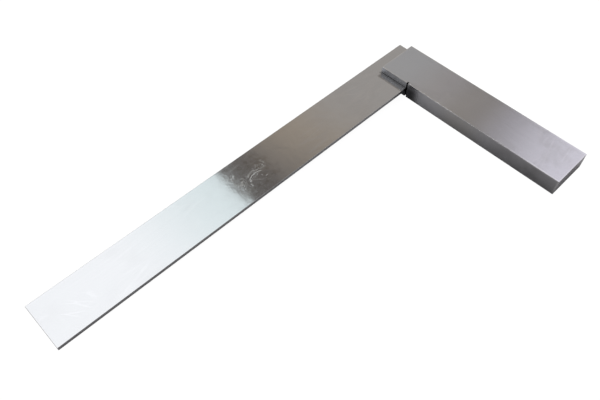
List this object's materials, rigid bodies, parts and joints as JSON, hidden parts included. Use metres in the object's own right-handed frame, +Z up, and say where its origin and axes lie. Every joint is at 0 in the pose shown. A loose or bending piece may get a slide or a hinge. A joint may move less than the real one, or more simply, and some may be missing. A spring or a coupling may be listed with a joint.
{
  "type": "engineer's try square",
  "caption": "Steel try square: a thin flat blade fixed at a right angle in the slotted end of a thicker rectangular stock, for marking and checking right angles.",
  "frame": {"origin": "inner right-angle corner, where the blade's inner edge meets the stock's inner face, on the plane of the stock's lower face", "axes": "+X out along the blade's inner edge towards the tip, +Y along the stock's inner face towards its free end, +Z up from the face that the square lies on"},
  "size_m": [0.2, 0.0995, 0.008],
  "materials": {
    "blade_steel": "finely ground and polished, near mirror bright",
    "stock_steel": "fine satin ground on all faces, edges lightly broken",
    "rivet_steel": "ground flush with the stock"
  },
  "bodies": {
    "root": {"blade": "blade_steel", "stock": "stock_steel", "rivet_inner": "rivet_steel", "rivet_heel": "rivet_steel", "rivet_back": "rivet_steel"}
  },
  "joints": []
}
